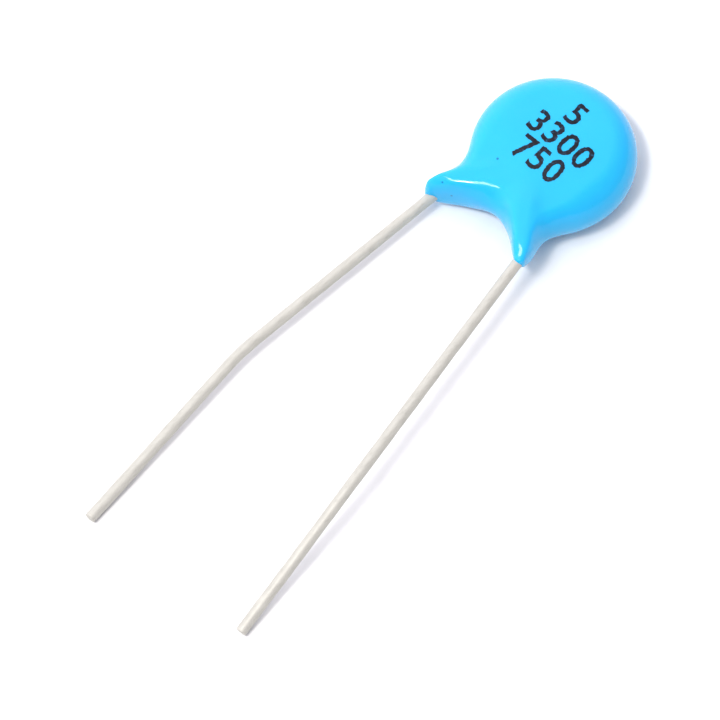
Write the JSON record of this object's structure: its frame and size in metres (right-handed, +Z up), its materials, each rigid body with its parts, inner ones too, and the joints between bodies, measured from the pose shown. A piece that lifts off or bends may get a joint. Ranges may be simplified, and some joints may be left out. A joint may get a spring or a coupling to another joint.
{
  "type": "ceramic disc capacitor",
  "caption": "Radial-lead ceramic disc capacitor: a round dipped epoxy body around a silvered ceramic disc, with splayed stiff wire leads, lying flat.",
  "frame": {"origin": "middle of the part's base, on the surface that it lies on", "axes": "+Z up from that surface through the disc's faces, +Y from the lead tips to the disc, along the longest side"},
  "size_m": [0.0104, 0.0324, 0.0033],
  "materials": {
    "epoxy": "glossy dipped coating",
    "ceramic": "fired, matt",
    "silver": "fired silver, matt",
    "solder": "satin solder",
    "tinned_wire": "satin tinned",
    "ink": "stamped ink, matt"
  },
  "bodies": {
    "root": {"coating": "epoxy", "ceramic_disc": "ceramic", "upper_electrode": "silver", "lower_electrode": "silver", "upper_solder_joint": "solder", "lower_solder_joint": "solder", "right_lead": "tinned_wire", "left_lead": "tinned_wire"}
  },
  "joints": []
}
